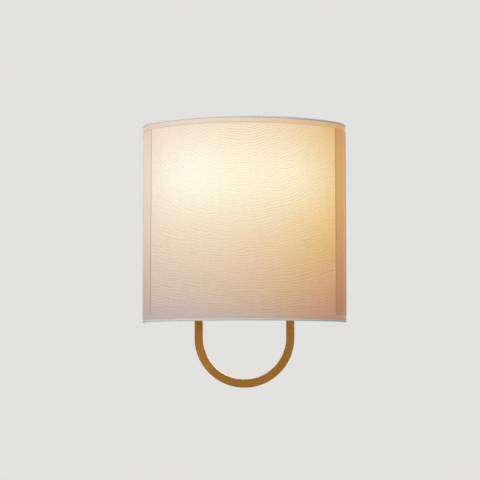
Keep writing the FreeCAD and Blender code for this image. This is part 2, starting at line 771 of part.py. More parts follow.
def lamp_glass():
    outer_start, outer, outer_end = glass_line(0)
    inner_start, inner, inner_end = glass_line(GLASS)
    ends = [Part.LineSegment(outer_start, inner_start), Part.LineSegment(outer_end, inner_end)]
    edges = outer + inner + [piece.toShape() for piece in ends]
    section = Part.Face(Part.Wire(Part.__sortEdges__(edges)))
    return section.revolve(V(0, 0, 0), Z_AXIS, 360)


def lamp_stem():
    """Glass mount that closes the neck, with the two hubs that hold the filaments."""
    hub = FILAMENT_CIRCLE + FILAMENT_RADIUS + 0.15
    hub_height = 0.9
    rod = 0.5
    upper_hub = STEM_TOP + FILAMENT_LENGTH
    return turned(
        [
            (0, GLASS_FOOT),
            (NECK_RADIUS - GLASS, GLASS_FOOT),
            (NECK_RADIUS - GLASS, GLASS_FOOT + 1.0),
            (2.4, GLASS_FOOT + 6.0),
            (1.6, STEM_TOP - hub_height),
            (hub, STEM_TOP - hub_height),
            (hub, STEM_TOP),
            (rod, STEM_TOP),
            (rod, upper_hub),
            (hub, upper_hub),
            (hub, upper_hub + hub_height),
            (0, upper_hub + hub_height),
        ]
    )


def lamp_filaments():
    rods = []
    for quarter in range(4):
        turn = math.radians(45 + 90 * quarter)
        x, y = FILAMENT_CIRCLE * math.cos(turn), FILAMENT_CIRCLE * math.sin(turn)
        rods.append(rod_z(FILAMENT_RADIUS, x, y, STEM_TOP, STEM_TOP + FILAMENT_LENGTH))
    return group(rods)


# ---- shade posts and thumb nuts -----------------------------------------------------------

def shade_posts():
    """Shouldered posts riveted to the backplate."""
    end = STRAP_FRONT - STRAP_PLAY - POST_THREAD
    plate_back = PLATE_FRONT + SHEET
    rivet_radius = 3.2
    rivet_height = 0.8
    posts = []
    for x in (-POST_X, POST_X):
        post = rod_y(SCREW_RADIUS, x, POST_Z, end, plate_back)
        post = post.fuse(
            [
                rod_y(POST_SHOULDER, x, POST_Z, PLATE_FRONT - POST_COLLAR, PLATE_FRONT),
                rod_y(rivet_radius, x, POST_Z, plate_back, plate_back + rivet_height),
            ]
        )
        posts.append(post)
    return group(posts)


def thumb_nut(x):
    """Round nut with a milled head, turned by hand."""
    seat = STRAP_FRONT - STRAP_PLAY
    end = seat - THUMB_LENGTH
    neck_end = seat - 1.6
    head_end = end + 0.6
    chamfer = 0.5
    bore = SCREW_RADIUS + 0.05
    neck = THUMB_RADIUS - 2.0
    return turned_about_y(
        [
            (bore, seat),
            (neck, seat),
            (neck, neck_end),
            (THUMB_RADIUS - chamfer, neck_end),
            (THUMB_RADIUS, neck_end - chamfer),
            (THUMB_RADIUS, head_end + chamfer),
            (THUMB_RADIUS - chamfer, head_end),
            (neck - 0.6, head_end),
            (neck - 1.0, end),
            (bore, end),
        ],
        x,
        POST_Z,
    )


# ---- the assembly -------------------------------------------------------------------------

def parts():
    made = {
        "wall_crossbar": wall_crossbar(),
        "mounting_studs": mounting_studs(),
        "ground_screw": ground_screw(),
        "backplate": backplate(),
        "cap_nuts": cap_nuts(),
        "wire_bushing": wire_bushing(),
        "arm_loop": arm_loop(),
        "arm_screws": arm_screws(),
        "lamp_bracket": lamp_bracket(),
        "bracket_screws": bracket_screws(),
        "shade_posts": shade_posts(),
        "shade_liner": shade_liner(),
        "front_fabric": front_fabric(),
        "top_trim": top_trim(),
        "top_ring": top_ring(),
        "back_uprights": uprights(*back_wire_place()),
        "seam_uprights": uprights(*on_right_end(WIRE_OFFSET, SEAM_ANGLE)),
        "carrier_strap": carrier_strap(),
    }
    made["bottom_trim"] = upside_down(made["top_trim"])
    made["bottom_ring"] = upside_down(made["top_ring"])
    for name, solid in (
        ("side_fabric", right_side_fabric()),
        ("seam_welt", right_seam_welt()),
        ("back_trim", right_back_trim()),
    ):
        made["right_" + name] = solid
        made["left_" + name] = mirrored(solid)
    for name, solid in (
        ("lampholder", lampholder()),
        ("screw_shell", screw_shell()),
        ("centre_contact", centre_contact()),
        ("lamp_tip", lamp_tip()),
        ("lamp_insulator", lamp_insulator()),
        ("lamp_cap", lamp_cap()),
        ("lamp_glass", lamp_glass()),
        ("lamp_stem", lamp_stem()),
        ("lamp_filaments", lamp_filaments()),
    ):
        made["left_" + name] = solid.translated(V(-LAMP_X, LAMP_Y, 0))
        made["right_" + name] = solid.translated(V(LAMP_X, LAMP_Y, 0))
    for name, solid in (
        ("holder_nipples", holder_nipple()),
        ("holder_washers", holder_washer()),
        ("holder_nuts", holder_nut()),
    ):
        made[name] = group([solid.translated(V(x, LAMP_Y, 0)) for x in (-LAMP_X, LAMP_X)])
    made["left_thumb_nut"] = thumb_nut(-POST_X)
    made["right_thumb_nut"] = thumb_nut(POST_X)
    return made


os.makedirs("parts", exist_ok=True)
for node, shape in parts().items():
    shape.exportStep(os.path.join("parts", node + ".step"))
    print(f"{node:24s} solids {len(shape.Solids)}  valid {shape.isValid()}  volume {shape.Volume:10.1f} mm3")
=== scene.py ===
import math

import bmesh
import bpy
from mathutils import Matrix, Vector, noise


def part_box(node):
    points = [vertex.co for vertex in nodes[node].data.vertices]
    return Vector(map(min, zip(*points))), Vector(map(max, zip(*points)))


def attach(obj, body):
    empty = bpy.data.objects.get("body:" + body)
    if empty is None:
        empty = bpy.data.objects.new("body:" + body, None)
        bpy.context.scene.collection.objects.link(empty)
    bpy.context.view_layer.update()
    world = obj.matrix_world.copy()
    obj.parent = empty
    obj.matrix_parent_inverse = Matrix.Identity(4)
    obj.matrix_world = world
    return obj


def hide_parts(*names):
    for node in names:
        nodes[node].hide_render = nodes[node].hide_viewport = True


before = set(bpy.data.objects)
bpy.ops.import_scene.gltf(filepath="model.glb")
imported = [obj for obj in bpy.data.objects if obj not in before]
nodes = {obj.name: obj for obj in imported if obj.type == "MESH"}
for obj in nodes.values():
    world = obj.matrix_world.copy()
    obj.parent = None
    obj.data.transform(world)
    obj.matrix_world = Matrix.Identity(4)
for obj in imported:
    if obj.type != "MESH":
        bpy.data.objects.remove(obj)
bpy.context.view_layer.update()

mm = 0.001
print("frame loaded:", len(nodes), "nodes")

# the shade's plan, read off the frame: two end arcs that leave the wall square, one front arc between them
linerLow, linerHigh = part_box("shade_liner")
trimLow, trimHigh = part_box("top_trim")
shade = {
    "skin": 0.65 * mm,           # fabric and glue, outside the liner
    "endRadius": 58 * mm,
    "wireOffset": -2.4 * mm,     # rim wire, inside the fabric's face
    "wireRadius": 1.2 * mm,
    "glue": 0.05 * mm,
    "liner": 0.5 * mm,
}
halfWidth = linerHigh.x + shade["skin"]
shadeBack = linerHigh.y
shadeDepth = shadeBack - linerLow.y + shade["skin"]
halfHeight = trimHigh.z
bandHeight = trimHigh.z - trimLow.z
ribHalf = halfHeight - bandHeight        # half height of the cloth between the two bands
endRadius = shade["endRadius"]
endCentreX = halfWidth - endRadius
frontRadius = (halfWidth**2 + shadeDepth**2 - 2 * halfWidth * endRadius) / (2 * (shadeDepth - endRadius))
frontCentreY = shadeBack + frontRadius - shadeDepth
seamAngle = math.atan2(frontRadius - shadeDepth, endCentreX)
endLength = endRadius * seamAngle
frontLength = frontRadius * (math.pi - 2 * seamAngle)
outlineLength = 2 * endLength + frontLength


def onOutline(along, offset):
    # plan point at a distance along the fabric's face from the left back edge, set out by the offset
    mirrored = along > outlineLength / 2
    step = outlineLength - along if mirrored else along
    if step < 0:        # straight on past the back edge
        x, y = -halfWidth - offset, shadeBack - step
    elif step < endLength:
        turn = step / endRadius
        x = -endCentreX - (endRadius + offset) * math.cos(turn)
        y = shadeBack - (endRadius + offset) * math.sin(turn)
    else:
        turn = seamAngle + (step - endLength) / frontRadius
        x = -(frontRadius + offset) * math.cos(turn)
        y = frontCentreY - (frontRadius + offset) * math.sin(turn)
    return (-x, y) if mirrored else (x, y)


def wander(*place):
    return noise.noise(Vector(place))


def fade(value, low, high):
    t = min(max((value - low) / (high - low), 0.0), 1.0)
    return t * t * (3 - 2 * t)


def addObject(name, data):
    made = bpy.data.objects.new(name, data)
    bpy.context.scene.collection.objects.link(made)
    return made


def makePiece(name, points, faces, body, standsFor=()):
    mesh = bpy.data.meshes.new(name)
    mesh.from_pydata(points, [], faces)
    mesh.validate()
    mesh.update()
    mesh.shade_smooth()
    piece = addObject(name, mesh)
    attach(piece, body)
    if standsFor:
        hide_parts(*standsFor)
    return piece


def gridFaces(columns, rows, loop=False, skip=None):
    # quads of a grid whose points run row by row; loop joins the last column to the first
    faces = []
    for j in range(rows - 1):
        for i in range(columns if loop else columns - 1):
            if skip and skip(i, j):
                continue
            k = (i + 1) % columns
            faces.append((j * columns + i, j * columns + k, (j + 1) * columns + k, (j + 1) * columns + i))
    return faces


def clothMap(piece, columns, spanU, spanV):
    # a flat map of the cloth, in metres along and up, for its weave
    layer = piece.data.uv_layers.new(name="cloth")
    for loop in piece.data.loops:
        j, i = divmod(loop.vertex_index, columns)
        layer.data[loop.index].uv = (spanU(i), spanV(j))


def thicken(piece, thickness, side):
    skin = piece.modifiers.new("thickness", "SOLIDIFY")
    skin.thickness = thickness
    skin.offset = side
    skin.use_rim = True


def turnFor(axis):
    # the turn that takes upward to the axis
    return Vector((0, 0, 1)).rotation_difference(Vector(axis)).to_matrix()


def lathe(name, profile, centre, axis, body, standsFor=(), segments=64, ripple=None, crease=35):
    # profile is (distance along the axis, radius); closed at both ends where the radius is 0
    turnTo = turnFor(axis)
    points, faces, rings = [], [], []
    for height, radius in profile:
        if radius < 1e-7:
            rings.append([len(points)])
            points.append(turnTo @ Vector((0, 0, height)) + Vector(centre))
            continue
        ring = []
        for i in range(segments):
            angle = 2 * math.pi * i / segments
            r = radius + (ripple(angle, height, radius) if ripple else 0)
            ring.append(len(points))
            points.append(turnTo @ Vector((r * math.cos(angle), r * math.sin(angle), height)) + Vector(centre))
        rings.append(ring)
    for low, high in zip(rings, rings[1:]):
        for i in range(segments):
            k = (i + 1) % segments
            quad = [low[i % len(low)], low[k % len(low)], high[k % len(high)], high[i % len(high)]]
            quad = list(dict.fromkeys(quad))
            if len(quad) > 2:
                faces.append(quad)
    piece = makePiece(name, points, faces, body, standsFor)
    sharpen(piece, crease)
    return piece


def sharpen(piece, degrees):
    bm = bmesh.new()
    bm.from_mesh(piece.data)
    bmesh.ops.recalc_face_normals(bm, faces=bm.faces)
    for edge in bm.edges:
        edge.smooth = len(edge.link_faces) != 2 or edge.calc_face_angle(0) < math.radians(degrees)
    bm.to_mesh(piece.data)
    bm.free()


class Finish:
    # one material's node tree, with short calls for the nodes used below
    def __init__(self, name, **shader):
        self.material = bpy.data.materials.new(name)
        self.material.use_nodes = True
        self.tree = self.material.node_tree
        self.tree.nodes.clear()
        self.output = self.tree.nodes.new("ShaderNodeOutputMaterial")
        self.shader = self.tree.nodes.new("ShaderNodeBsdfPrincipled")
        self.link(self.shader.outputs[0], self.output.inputs[0])
        for key, value in shader.items():
            self.shader.inputs[key.replace("_", " ")].default_value = value

    def link(self, source, target):
        self.tree.links.new(source, target)

    def set(self, key, source):
        self.link(source, self.shader.inputs[key])

    def node(self, kind, inputs=None, **settings):
        made = self.tree.nodes.new("ShaderNode" + kind)
        for key, value in settings.items():
            setattr(made, key, value)
        for key, value in (inputs or {}).items():
            if isinstance(value, bpy.types.NodeSocket):
                self.link(value, made.inputs[key])
            else:
                made.inputs[key].default_value = value
        return made

    def math(self, operation, a, b=0.0, c=0.0):
        return self.node("Math", {0: a, 1: b, 2: c}, operation=operation).outputs[0]

    def vector(self, operation, a, b=(0, 0, 0), c=None):
        inputs = {0: a, 1: b}
        if c is not None:
            inputs[2] = c
        made = self.node("VectorMath", inputs, operation=operation)
        return made.outputs["Value" if operation in ("LENGTH", "DOT_PRODUCT") else "Vector"]

    def parts(self, source):
        return self.node("SeparateXYZ", {0: source}).outputs

    def place(self):
        return self.node("TexCoord").outputs["Object"]

    def cloth(self):
        return self.node("UVMap", uv_map="cloth").outputs[0]

    def stretched(self, source, scale):
        return self.node("Mapping", {"Vector": source, "Scale": scale}).outputs[0]

    def noise(self, source, scale, detail=3.0, rough=0.5):
        inputs = {"Vector": source, "Scale": scale, "Detail": detail, "Roughness": rough}
        return self.node("TexNoise", inputs).outputs["Fac"]

    def spread(self, source, low, high):
        # 0..1 mapped to low..high
        return self.node("MapRange", {"Value": source, "To Min": low, "To Max": high}).outputs[0]

    def ramp(self, source, start, end, **settings):
        # 0 at the start, 1 at the end, level beyond them
        inputs = {"Value": source, "From Min": start, "From Max": end}
        return self.node("MapRange", inputs, **settings).outputs[0]

    def blend(self, factor, first, second):
        made = self.node("Mix", {0: factor}, data_type="RGBA")
        for socket, value in ((made.inputs[6], first), (made.inputs[7], second)):
            if isinstance(value, bpy.types.NodeSocket):
                self.link(value, socket)
            else:
                socket.default_value = (*value, 1)
        return made.outputs[2]

    def bump(self, height, distance, strength=1.0):
        made = self.node("Bump", {"Height": height, "Distance": distance, "Strength": strength})
        self.set("Normal", made.outputs[0])

    def seeThrough(self, share):
        # nothing is there for this share of the rays
        clear = self.node("BsdfTransparent")
        both = self.node("MixShader", {0: share})
        self.link(self.shader.outputs[0], both.inputs[1])
        self.link(clear.outputs[0], both.inputs[2])
        self.link(both.outputs[0], self.output.inputs[0])


def metal(name, colour, tint, roughness, grain=(1, 1, 1), grainScale=900.0, edgeWearAndHighlight=0.0, along=None, grainDepth=0.004):
    made = Finish(name, Metallic=1.0)
    place = made.place()
    cloud = made.noise(place, 38.0, 4.0, 0.6)
    lines = made.noise(made.stretched(along(made) if along else place, grain), grainScale, 2.0, 0.6)
    mixed = made.blend(cloud, colour, tint)
    if edgeWearAndHighlight:
        # edges a little brighter: partly rubbed wear, partly a painted highlight
        brightEdges = made.ramp(made.node("NewGeometry").outputs["Pointiness"], 0.51, 0.58)
        mixed = made.blend(made.math("MULTIPLY", brightEdges, edgeWearAndHighlight), mixed, [min(1.0, c * 1.7) for c in colour])
    made.set("Base Color", mixed)
    made.set("Roughness", made.spread(lines, roughness - 0.05, roughness + 0.07))
    made.bump(lines, grainDepth * mm, 0.6)
    return made


def moulded(name, colour, roughness, speckle=0.03, **shader):
    made = Finish(name, **shader)
    place = made.place()
    cloud = made.noise(place, 60.0, 4.0, 0.6)
    darker = [c * (1 - speckle) for c in colour]
    paler = [min(1, c * (1 + speckle)) for c in colour]
    made.set("Base Color", made.blend(cloud, darker, paler))
    grit = made.noise(place, 1400.0, 2.0, 0.5)
    made.set("Roughness", made.spread(grit, roughness - 0.04, roughness + 0.06))
    made.bump(grit, 0.01 * mm, 0.5)
    return made


def paint(nodeName, made):
    slots = nodes[nodeName].data.materials
    slots.clear()
    slots.append(made.material)


def dress(piece, made):
    piece.data.materials.clear()
    piece.data.materials.append(made.material)


# light through the cloth: it follows the two lamps behind it, by the angle it arrives at over the distance squared
glow = {
    "lamp": (50 * mm, -50 * mm, 52 * mm),   # the right lamp; the left one mirrors it
    "seen": (34 * mm, -25 * mm, 52 * mm),   # the white inside blurs the lamps: they seem deeper and closer together
    "nearness": 0.01,                   # distance squared at which the direct light is as given
    "steady": (0.530, 0.287, 0.083),    # warm light that the white inside spreads evenly
    "direct": (0.041, 0.110, 0.122),    # light straight from the lamps
    "across": (0.067, -0.004, -0.097),  # change from the middle to the right edge
    "sides": (0.021, -0.028, -0.055),   # change towards both side edges
    "upward": (0.131, 0.088, 0.025),    # change from the middle to the top edge
    "ends": (-0.160, -0.100, -0.001),   # change towards the top and the bottom edge
    "warmth": (0.37, 0.12),             # least green and blue, as shares of the red
    "least": (0.03, 0.012, 0.0),
}


def lampGlow(made, through=1.0, tint=(1, 1, 1), weave=None):
    place = made.place()
    normal = made.node("NewGeometry").outputs["Normal"]
    total = None
    x, y, z = glow["seen"]
    for side in (-1, 1):
        ray = made.vector("SUBTRACT", place, (side * x, y, z))
        reach = made.vector("LENGTH", ray)
        facing = made.math("MAXIMUM", made.vector("DOT_PRODUCT", ray, normal), 0.0)
        facing = made.math("MULTIPLY", facing, glow["nearness"])
        share = made.math("DIVIDE", facing, made.math("POWER", reach, 3.0))
        total = share if total is None else made.math("ADD", total, share)
    parts = made.parts(place)
    across = made.math("DIVIDE", parts["X"], halfWidth)
    upward = made.math("DIVIDE", parts["Z"], halfHeight)
    shares = {
        "direct": total, "across": across, "sides": made.math("POWER", across, 2.0),
        "upward": upward, "ends": made.math("POWER", upward, 2.0),
    }
    light = glow["steady"]
    for key, share in shares.items():
        light = made.vector("MULTIPLY_ADD", share, glow[key], light)
    # the dimmest parts stay the warm colour of the lamps
    red = made.parts(light)["X"]
    green, blue = (made.math("MULTIPLY", red, share) for share in glow["warmth"])
    warm = made.node("CombineXYZ", {0: red, 1: green, 2: blue})
    light = made.vector("MAXIMUM", light, warm.outputs[0])
    light = made.vector("MAXIMUM", light, glow["least"])
    light = made.vector("MULTIPLY", light, [through * t for t in tint])
    if weave is not None:
        light = made.vector("MULTIPLY", light, weave)
    made.set("Emission Color", light)
    made.shader.inputs["Emission Strength"].default_value = 1.0


linen = {
    "colour": (0.50, 0.46, 0.41),
    "dark": (0.42, 0.38, 0.33),
    "threadPitch": 0.65 * mm,
    "ribPitch": 3.2 * mm,
    "ribHeight": 0.20 * mm,
    "curl": (0.14, 0.60),          # slope of the ribs far out to the sides, at the bottom, and added at the top
    "curlWidth": 50 * mm,
    "drift": ((2.6 * mm, 32, 46, 3.1), (1.5 * mm, 110, 150, 7.7)),   # size, waves a metre across and up, seed
    "fullness": (0.80, 0.9),       # height of the ribs, steady part and uneven part
    "between": (0.22, 0.7),        # the same for the finer ribs between them
    "betweenCount": 1.43,          # finer ribs to one rib
    "yarn": 0.45,
    "columns": 200,
    "rows": 470,
    "thickness": 0.6 * mm,
    "slubShade": -0.125,
}


def ribPhase(along, height):
    # the slub ribs run across, rise to both sides like a shallow bowl, and wander a little
    across = along - outlineLength / 2
    slope = linen["curl"][0] + linen["curl"][1] * ((height / halfHeight + 1) / 2) ** 1.5
    rise = slope * (math.hypot(across, linen["curlWidth"]) - linen["curlWidth"])
    drift = sum(size * wander(along * a, height * b, seed) for size, a, b, seed in linen["drift"])
    return (height - rise + drift) / linen["ribPitch"]


def ribRelief(along, height):
    edge = fade(ribHalf - abs(height), 0, 4 * mm)        # flat where the band covers it
    steady, uneven = linen["fullness"]
    fullness = steady + uneven * wander(along * 95, height * 220, 1.7)
    thread = linen["yarn"] * wander(along * 190, height * 900, 5.2)
    phase = 2 * math.pi * ribPhase(along, height)
    steady, uneven = linen["between"]
    finer = steady + uneven * wander(along * 60, height * 90, 8.3)
    between = finer * math.sin(linen["betweenCount"] * phase + 2.0)
    return linen["ribHeight"] * edge * (fullness * math.sin(phase) + between + thread)


def clothPanel(name, start, end, columns, rows, relief, standsFor):
    half = linerHigh.z
    points, thick = [], []
    for j in range(rows):
        height = -half + 2 * half * j / (rows - 1)
        for i in range(columns):
            along = start + (end - start) * i / (columns - 1)
            rise = relief(along, height)
            x, y = onOutline(along, rise)
            points.append((x, y, height))
            thick.append(rise / linen["ribHeight"])
    piece = makePiece(name, points, gridFaces(columns, rows), "shade", standsFor)
    # where the yarn is thick, less light comes through
    slub = piece.data.attributes.new("slub", "FLOAT", "POINT")
    slub.data.foreach_set("value", thick)
    clothMap(
        piece, columns, lambda i: start + (end - start) * i / (columns - 1), lambda j: 2 * half * j / (rows - 1)
    )
    thicken(piece, linen["thickness"], -1)
    return piece


def weaveHeight(made, pitch, slub):
    # two sets of threads over and under each other, with uneven thickness
    cloth = made.cloth()
    parts = made.parts(cloth)
    drift = made.noise(made.stretched(cloth, (1, 0.25, 1)), 260.0, 2.0)
    turn = 2 * math.pi / pitch
    warp = made.math("SINE", made.math("ADD", made.math("MULTIPLY", parts["X"], turn), drift))
    weft = made.math("SINE", made.math("ADD", made.math("MULTIPLY", parts["Y"], turn), drift))
    over = made.math("MULTIPLY", warp, weft)
    thread = made.noise(made.stretched(cloth, (0.12, 1.0, 1.0)), 1500.0, 2.0, 0.6)
    return made.math("ADD", made.math("MULTIPLY", over, 0.35), made.math("MULTIPLY", thread, slub))


def slubLine(made):
    # 1 on the crest of a slub, 0 between them
    slub = made.node("Attribute", attribute_name="slub").outputs["Fac"]
    return made.ramp(slub, -0.7, 1.1, interpolation_type="SMOOTHSTEP")


def linenFinish():
    made = Finish("slubLinen", Roughness=0.92, Sheen_Weight=0.25, Sheen_Roughness=0.5, Specular_IOR_Level=0.2)
    cloth = made.cloth()
    long = made.noise(made.stretched(cloth, (0.10, 1.0, 1.0)), 520.0, 3.0, 0.6)
    upright = made.noise(made.stretched(cloth, (1.0, 0.06, 1.0)), 300.0, 2.0, 0.5)
    uneven = made.math("ADD", made.math("MULTIPLY", long, 0.5), made.math("MULTIPLY", upright, 0.5))
    slub = slubLine(made)
    pale = made.math("MULTIPLY_ADD", slub, -0.6, made.math("ADD", uneven, 0.15))
    made.set("Base Color", made.blend(pale, linen["dark"], linen["colour"]))
    made.bump(weaveHeight(made, linen["threadPitch"], 0.9), 0.05 * mm, 0.8)
    weave = made.math("MULTIPLY_ADD", slub, linen["slubShade"], made.spread(uneven, 0.96, 1.16))
    lampGlow(made, weave=weave)
    return made


frontStart, frontEnd = endLength, endLength + frontLength
frontFabric = clothPanel(
    "frontFabric", frontStart, frontEnd, linen["columns"], linen["rows"], ribRelief, ["front_fabric"],
)
dress(frontFabric, linenFinish())
print("front fabric stretched:", round(frontLength * 1000), "mm across")

sidePanel = {
    "columns": 30,
    "rows": 420,
    "share": 0.40,                 # of the front's rib height: the same slubs, pulled flatter round the tight ends
    "colour": (0.47, 0.43, 0.35),
    "dark": (0.43, 0.39, 0.31),
    "threadPitch": 0.5 * mm,
    # the two side panels are the same cloth: the right one's dimmer, warmer share of the glow is painted shade
    "through": {"left": (0.91, (1.0, 0.98, 1.0)), "right": (0.80, (1.0, 0.72, 0.32))},   # share and tint of the light
}


def sideRelief(along, height):
    return sidePanel["share"] * ribRelief(along, height)


def sideFinish(side, through, tint):
    made = Finish(
        side + "SideCloth", Roughness=0.9, Sheen_Weight=0.2, Sheen_Roughness=0.5, Specular_IOR_Level=0.2
    )
    cloth = made.cloth()
    uneven = made.noise(made.stretched(cloth, (1.0, 0.2, 1.0)), 420.0, 3.0, 0.6)
    made.set("Base Color", made.blend(uneven, sidePanel["dark"], sidePanel["colour"]))
    made.bump(weaveHeight(made, sidePanel["threadPitch"], 0.4), 0.04 * mm, 0.7)
    weave = made.math("MULTIPLY_ADD", slubLine(made), linen["slubShade"], made.spread(uneven, 0.99, 1.07))
    lampGlow(made, through, tint, weave)
    return made


for side, start, end in (("left", 0.0, endLength), ("right", outlineLength - endLength, outlineLength)):
    panel = clothPanel(
        side + "SideFabric", start, end, sidePanel["columns"], sidePanel["rows"], sideRelief,
        [side + "_side_fabric"],
    )
    dress(panel, sideFinish(side, *sidePanel["through"][side]))
print("side panels stretched")

# trims: one tape section, rolled over the rim wires and the back uprights
rolledTrim = {
    "tape": 0.45 * mm,
    "bead": 1.2 * mm,             # radius of the roll's middle line
    "beadInset": 0.45 * mm,       # its centre, inside the fabric's face
    "bandSteps": ((0, 1), (0.12, 0.25), (0.5, 0), (0.85, 0)),   # place down the band, how far it is pressed in
    "beadPoints": 13,
    "wirePoints": 11,
    "wireWrap": 1.08,             # half turns round the wire
    "tail": 3.1 * mm,             # from the wire to the flat inner band
    "columns": 230,
    "backRows": 150,
    "pucker": 0.05,               # unevenness of the roll
    "slack": 0.03,
    "edgeWaver": 0.12 * mm,
    "pressed": 0.26 * mm,         # the band's cut edge is pressed into the fabric
    "foldDepth": 1.1 * mm,        # the tape's ends are folded in over themselves
    "foldIn": 0.55,
    "strapGap": 0.4 * mm,         # the back trims' inner band is left open where the strap is welded on
    "openFrom": 21,               # from this point of the section on
    "threadPitch": 0.42 * mm,
    "colour": (0.53, 0.49, 0.45),
    "dark": (0.49, 0.45, 0.41),
    # the roll is painted paler than the band: a painted highlight along the top of the roll
    "beadHighlightColour": (0.88, 0.86, 0.82),
}
beadDepth = rolledTrim["bead"] + rolledTrim["tape"] / 2        # the roll's centre, below the rim


def rollSection():
    # tape's middle line, from the outer band over the roll to the inner band, as
    # (offset from the fabric's face, depth from the rim)
    half = rolledTrim["tape"] / 2
    outer = shade["glue"] + half
    inner = -(shade["skin"] + shade["liner"] + shade["glue"]) - half
    bead = rolledTrim["bead"]
    centre = -rolledTrim["beadInset"]
    first = math.acos((outer - centre) / bead)
    bandTop = beadDepth + bead * math.sin(first)
    line = [
        (outer - rolledTrim["pressed"] * sink, bandHeight + (bandTop - bandHeight) * t)
        for t, sink in rolledTrim["bandSteps"]
    ]
    for i in range(rolledTrim["beadPoints"]):
        turn = -first + (math.pi / 2 + first) * i / (rolledTrim["beadPoints"] - 1)
        line.append((centre + bead * math.cos(turn), beadDepth - bead * math.sin(turn)))
    wireDepth = shade["wireRadius"] + shade["glue"] + rolledTrim["tape"]
    wireRoll = shade["wireRadius"] + shade["glue"] + half
    for i in range(rolledTrim["wirePoints"]):
        turn = math.pi / 2 + math.pi * rolledTrim["wireWrap"] * i / (rolledTrim["wirePoints"] - 1)
        line.append((shade["wireOffset"] + wireRoll * math.cos(turn), wireDepth - wireRoll * math.sin(turn)))
    line += [(inner, wireDepth + rolledTrim["tail"]), (inner, bandHeight)]
    return line


section = rollSection()
run = [0.0]                  # distance along the tape, from the outer band's edge
for a, b in zip(section, section[1:]):
    run.append(run[-1] + math.dist(a, b))
beadStart = len(rolledTrim["bandSteps"])
beadPart = range(beadStart, beadStart + rolledTrim["beadPoints"])      # points of the section that lie on the roll


def rollPoint(along, k, seed):
    # offset and depth of a point of the section, with the roll's puckers at a place along the rim
    offset, depth = section[k]
    if k in beadPart:
        centre = -rolledTrim["beadInset"]
        swell = 1 + rolledTrim["pucker"] * wander(along * 420, seed, k * 0.05)
        swell += rolledTrim["slack"] * wander(along * 90, seed, 2.0)
        offset = centre + (offset - centre) * swell
        depth = beadDepth + (depth - beadDepth) * min(swell, 1.0)
    if k in (0, len(section) - 1):
        depth += rolledTrim["edgeWaver"] * (wander(along * 130, seed, 4.0) - 0.5)
    return offset, depth


def rimTrim(name, top, standsFor):
    columns, count = rolledTrim["columns"], len(section)
    seed = 11.0 if top else 23.0
    sign = 1 if top else -1
    overhang = shade["glue"] + rolledTrim["tape"]
    points = []
    for i in range(columns):
        along = -overhang + (outlineLength + 2 * overhang) * i / (columns - 1)
        atEnd = i in (0, columns - 1)
        for k in range(count):
            offset, depth = rollPoint(along, k, seed)
            if atEnd:
                offset = offset + (-rolledTrim["foldDepth"] - offset) * rolledTrim["foldIn"]
            x, y = onOutline(along, offset)
            points.append((x, y, sign * (halfHeight - depth)))
    piece = makePiece(name, points, gridFaces(count, columns), "shade", standsFor)
    clothMap(piece, count, lambda k: run[k], lambda i: outlineLength * i / (columns - 1))
    thicken(piece, rolledTrim["tape"], 0)
    return piece


def tapeFinish(name, through, tint, colour, dark, rolled):
    made = Finish(name, Roughness=0.88, Sheen_Weight=0.2, Sheen_Roughness=0.45, Specular_IOR_Level=0.25)
    cloth = made.cloth()
    uneven = made.noise(made.stretched(cloth, (1.0, 0.5, 1.0)), 700.0, 3.0, 0.6)
    made.bump(weaveHeight(made, rolledTrim["threadPitch"], 0.3), 0.03 * mm, 0.7)
    # the roll over the wire lets little light through, the flat band some
    bandEnd = run[beadStart]
    limits = {"Value": made.parts(cloth)["X"], "From Min": bandEnd + 0.2 * mm, "From Max": bandEnd, "To Min": rolled}
    band = made.node("MapRange", limits).outputs[0]
    lampGlow(made, through, tint, made.math("MULTIPLY", band, made.spread(uneven, 0.95, 1.05)))
    flat = made.blend(uneven, dark, colour)
    # painted highlight: the roll takes the paler colour, the flat band keeps its own
    made.set("Base Color", made.blend(band, rolledTrim["beadHighlightColour"], flat) if rolled < 1 else flat)
    return made


trimTape = tapeFinish("rolledTape", 0.80, (1.0, 0.92, 0.88), rolledTrim["colour"], rolledTrim["dark"], 0.03)
for name, top in (("topTrim", True), ("bottomTrim", False)):
    dress(rimTrim(name, top, ["top_trim" if top else "bottom_trim"]), trimTape)


def backTrim(side):
    # the same roll, standing up the back edge
    strapLow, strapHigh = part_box("carrier_strap")
    gap, rows, count = rolledTrim["strapGap"], rolledTrim["backRows"], len(section)
    levels = [-ribHalf + 2 * ribHalf * j / rows for j in range(rows + 1)]
    levels = sorted(levels + [strapLow.z - gap, strapHigh.z + gap])
    points = []
    for height in levels:
        for k in range(count):
            offset, depth = rollPoint(height, k, 31.0 if side == "left" else 37.0)
            along = depth - shade["glue"] - rolledTrim["tape"]
            if side == "right":
                along = outlineLength - along
            x, y = onOutline(along, offset)
            points.append((x, y, height))

    def atStrap(k, j):
        middle = (levels[j] + levels[j + 1]) / 2
        return k >= rolledTrim["openFrom"] and strapLow.z - gap < middle < strapHigh.z + gap

    faces = gridFaces(count, len(levels), skip=atStrap)
    piece = makePiece(side + "BackTrim", points, faces, "shade", [side + "_back_trim"])
    clothMap(piece, count, lambda k: run[k], lambda j: levels[j])
    thicken(piece, rolledTrim["tape"], 0)
    # the back trims take the side panels' share of the glow: on the right it is painted shade
    share, tint = sidePanel["through"][side]
    tape = tapeFinish(side + "BackTape", 0.85 * share, tint, rolledTrim["colour"], rolledTrim["dark"], 0.05)
    dress(piece, tape)


for side in ("left", "right"):
    backTrim(side)
print("trims rolled:", len(section), "points across the tape")

seam = {
    "radius": 0.9 * mm,
    "stitch": 2.6 * mm,
    "pull": 0.10,                 # drawn in at each stitch
    "uneven": 0.05,
    "rows": 420,
    "around": 9,
    # share of the glow: lower than the linen's for the welt's thicker cloth; the right welt's much lower share is
    # painted shade
    "through": {"left": 0.70, "right": 0.38},
    "tint": (1.0, 0.88, 0.80),
    # the welt's colour, darker than the linen's, is painted shade along the seam line
    "colour": (0.41, 0.375, 0.33),
    "dark": (0.37, 0.335, 0.295),
}


